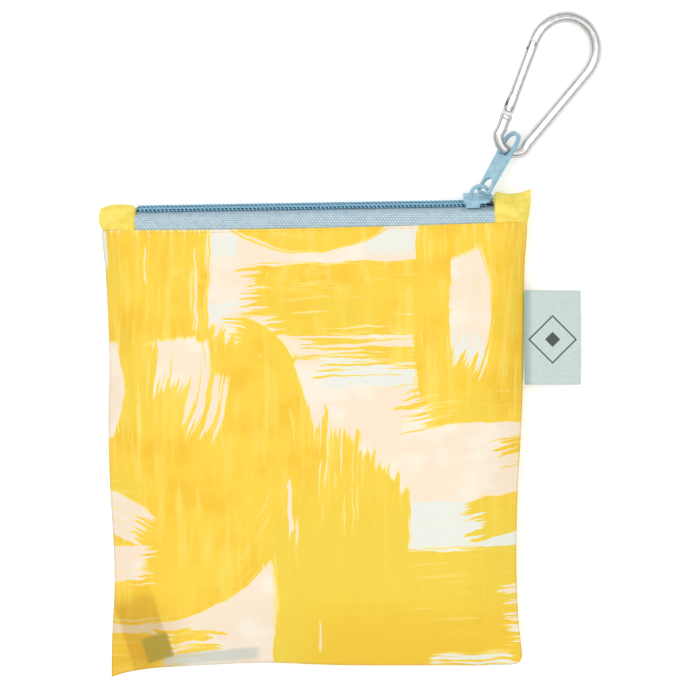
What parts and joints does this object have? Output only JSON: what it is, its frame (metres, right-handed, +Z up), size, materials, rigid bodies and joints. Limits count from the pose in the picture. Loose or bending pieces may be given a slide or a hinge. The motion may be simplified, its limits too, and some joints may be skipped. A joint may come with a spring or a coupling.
{
  "type": "foldable tote bag",
  "caption": "Fold-up cloth tote packed in its flat zip pouch, with slider, puller, snap hook and side label.",
  "frame": {"origin": "middle of the pouch's flat underside, where it lies on a table", "axes": "+Z up out of the pouch's front, +Y towards the zip edge, +X to the right with the label"},
  "size_m": [0.1564, 0.2078, 0.0129],
  "materials": {
    "printed_cloth": "thin woven polyester with a brushed print",
    "zip_tape": "woven zip tape",
    "zip_coil": "satin nylon coil",
    "blue_paint": "semi-gloss paint",
    "bright_aluminium": "polished",
    "steel": "bright drawn",
    "woven_label": "woven satin ribbon",
    "care_label": "dull satin ribbon"
  },
  "bodies": {
    "pouch": {"pouch_front_panel": "printed_cloth", "pouch_back_panel": "printed_cloth", "zip_end_tab_left": "printed_cloth", "zip_end_tab_right": "printed_cloth", "zip_tape_front": "zip_tape", "zip_tape_back": "zip_tape", "zip_coil_front": "zip_coil", "zip_coil_back": "zip_coil", "tote_front_panel": "printed_cloth", "tote_back_panel": "printed_cloth", "tote_handle_front": "printed_cloth", "tote_handle_back": "printed_cloth", "tote_care_label": "care_label"},
    "slider": {"slider_body": "blue_paint", "slider_crown": "blue_paint"},
    "puller": {"pull_tab": "blue_paint"},
    "hook": {"carabiner_body": "bright_aluminium"},
    "gate": {"carabiner_gate": "bright_aluminium", "gate_pivot_pin": "steel", "gate_latch_pin": "steel", "gate_spring": "steel", "gate_plunger": "steel"},
    "label": {"side_label": "woven_label"}
  },
  "joints": [
    {"name": "slider_travel", "type": "slide", "parent": "pouch", "child": "slider", "axis": [-0.9999, -0.0169, 0], "range_m": [0, 0.099]},
    {"name": "puller_swing", "type": "hinge", "parent": "slider", "child": "puller", "pos_m": [0.05125, 0.07508, 0.00744], "axis": [0, 0, 1], "range_deg": [-18, 35]},
    {"name": "hook_swing", "type": "hinge", "parent": "puller", "child": "hook", "pos_m": [0.06244, 0.09416, 0.00635], "axis": [0.3653, -0.2126, 0.9063], "range_deg": [0, 40]},
    {"name": "gate_opening", "type": "hinge", "parent": "hook", "child": "gate", "pos_m": [0.06025, 0.10204, 0.00908], "axis": [-0.3653, 0.2126, -0.9063], "range_deg": [0, 28], "stiffness_Nm_per_rad": 0.006, "springref_deg": -14.32},
    {"name": "label_flap", "type": "hinge", "parent": "pouch", "child": "label", "pos_m": [0.0652, 0.0305, 0.005], "axis": [0, -1, 0], "range_deg": [0, 75], "stiffness_Nm_per_rad": 0.003}
  ]
}
